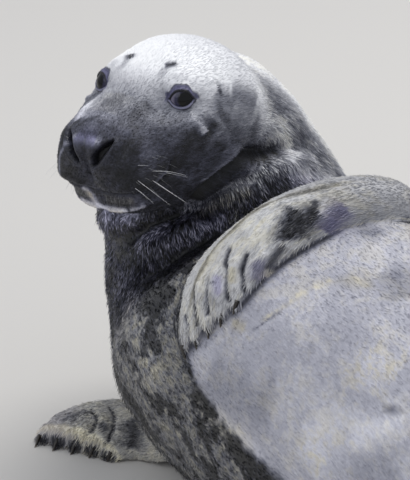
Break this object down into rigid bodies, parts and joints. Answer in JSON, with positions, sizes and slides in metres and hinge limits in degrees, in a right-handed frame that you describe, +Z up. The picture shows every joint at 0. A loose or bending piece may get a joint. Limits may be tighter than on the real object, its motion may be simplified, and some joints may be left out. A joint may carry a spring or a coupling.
{
  "type": "grey seal",
  "caption": "Life-size grey seal, still, lying on its side and back with chest curled up, head raised and turned, one fore flipper laid across its belly.",
  "frame": {"origin": "on the floor under the middle of the seal's box", "axes": "+X runs along the trunk to the tail and hind flippers, -Y is the side the belly and the face turn to, +Z up from the floor"},
  "size_m": [1.7568, 0.4626, 0.5419],
  "materials": {
    "coat": "short dark grey-green coat with paler mottling, wet and matt",
    "belly_coat": "smooth short silver-grey coat with faint cream and brown patches, soft sheen",
    "flipper_coat": "short pale tan-grey coat over the digits, matt",
    "claw": "dark horn, slight gloss",
    "eye": "wet black, high gloss"
  },
  "bodies": {
    "root": {"head": "coat", "neck": "coat", "chest": "coat", "belly": "belly_coat", "rump": "coat", "tail": "coat", "eye_left": "eye", "eye_right": "eye", "left_fore_flipper": "flipper_coat", "left_fore_claw_1": "claw", "left_fore_claw_2": "claw", "left_fore_claw_3": "claw", "left_fore_claw_4": "claw", "left_fore_claw_5": "claw", "right_fore_flipper": "flipper_coat", "right_fore_claw_1": "claw", "right_fore_claw_2": "claw", "right_fore_claw_3": "claw", "right_fore_claw_4": "claw", "right_fore_claw_5": "claw", "left_hind_flipper": "flipper_coat", "left_hind_claw_1": "claw", "left_hind_claw_2": "claw", "left_hind_claw_3": "claw", "left_hind_claw_4": "claw", "left_hind_claw_5": "claw", "right_hind_flipper": "flipper_coat", "right_hind_claw_1": "claw", "right_hind_claw_2": "claw", "right_hind_claw_3": "claw", "right_hind_claw_4": "claw", "right_hind_claw_5": "claw"}
  },
  "joints": []
}
